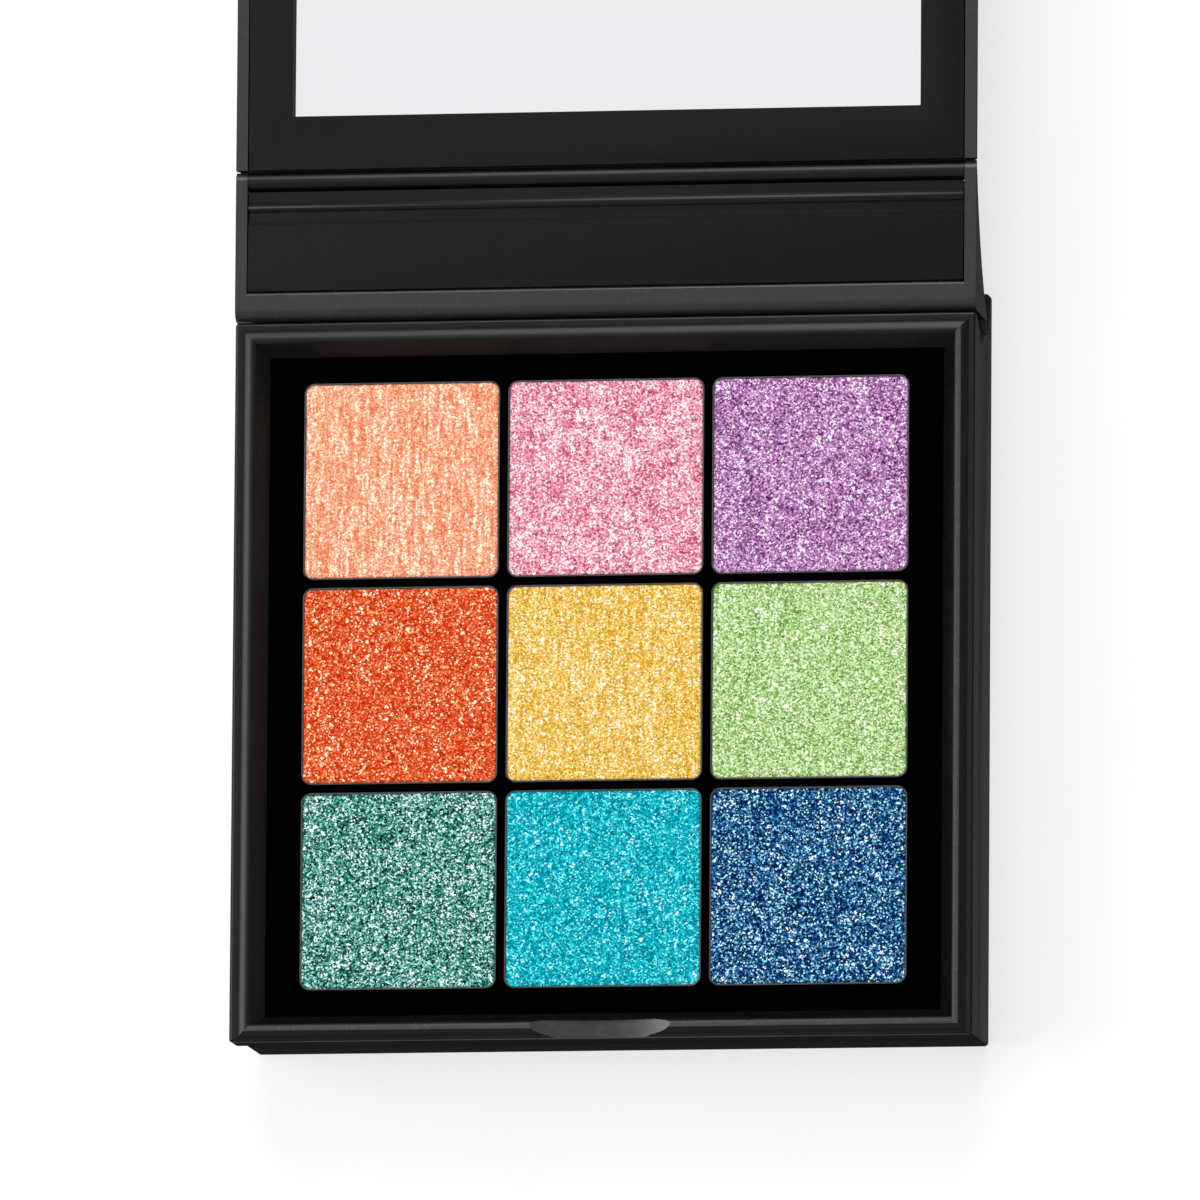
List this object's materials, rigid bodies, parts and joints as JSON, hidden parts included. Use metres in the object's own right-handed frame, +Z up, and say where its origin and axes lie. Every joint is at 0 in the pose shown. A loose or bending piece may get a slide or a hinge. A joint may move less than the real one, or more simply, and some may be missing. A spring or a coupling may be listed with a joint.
{
  "type": "eyeshadow palette",
  "caption": "Square makeup palette that opens flat: a tray of coloured pressed powders in metal pans, a folding spine and a mirrored lid.",
  "frame": {"origin": "centre of the base's underside, on the table", "axes": "+X to the right, +Y towards the lid's hinge, +Z up; drawn open and flat"},
  "size_m": [0.087, 0.1864, 0.017],
  "materials": {
    "satin_black_plastic": "satin moulded plastic",
    "matte_black_plastic": "matte, fine texture",
    "gloss_black_plastic": "high gloss",
    "pan_metal": "pressed, bright",
    "mirror_glass": "silvered glass",
    "foam_tape": "double-sided tape",
    "pan_glue": "dried hot-melt glue",
    "magnet": "nickel-plated",
    "pin_steel": "ground steel",
    "powder_coral": "pressed powder with fine glitter",
    "powder_pink": "pressed powder with fine glitter",
    "powder_violet": "pressed powder with fine glitter",
    "powder_orange": "pressed powder with fine glitter",
    "powder_gold": "pressed powder with fine glitter",
    "powder_green": "pressed powder with fine glitter",
    "powder_emerald": "pressed powder with fine glitter",
    "powder_turquoise": "pressed powder with fine glitter",
    "powder_navy": "pressed powder with fine glitter"
  },
  "bodies": {
    "base": {"base_shell": "satin_black_plastic", "tray_frame": "satin_black_plastic", "pan_deck": "gloss_black_plastic", "pan_glue_dots": "pan_glue", "closure_plates": "pin_steel", "pan_coral": "pan_metal", "pan_pink": "pan_metal", "pan_violet": "pan_metal", "pan_orange": "pan_metal", "pan_gold": "pan_metal", "pan_green": "pan_metal", "pan_emerald": "pan_metal", "pan_turquoise": "pan_metal", "pan_navy": "pan_metal", "powder_coral": "powder_coral", "powder_pink": "powder_pink", "powder_violet": "powder_violet", "powder_orange": "powder_orange", "powder_gold": "powder_gold", "powder_green": "powder_green", "powder_emerald": "powder_emerald", "powder_turquoise": "powder_turquoise", "powder_navy": "powder_navy"},
    "spine": {"spine_shell": "satin_black_plastic", "spine_panel": "matte_black_plastic", "base_hinge_pin_left": "pin_steel", "base_hinge_pin_right": "pin_steel"},
    "lid": {"lid_shell": "satin_black_plastic", "lid_frame": "matte_black_plastic", "mirror": "mirror_glass", "mirror_tape": "foam_tape", "closure_magnets": "magnet", "lid_hinge_pin_left": "pin_steel", "lid_hinge_pin_right": "pin_steel"}
  },
  "joints": [
    {"name": "spine_fold", "type": "hinge", "parent": "base", "child": "spine", "pos_m": [0, 0.04985, 0.0094], "axis": [1, 0, 0], "range_deg": [0, 90]},
    {"name": "lid_fold", "type": "hinge", "parent": "spine", "child": "lid", "pos_m": [0, 0.05875, 0.01585], "axis": [1, 0, 0], "range_deg": [0, 90]}
  ]
}
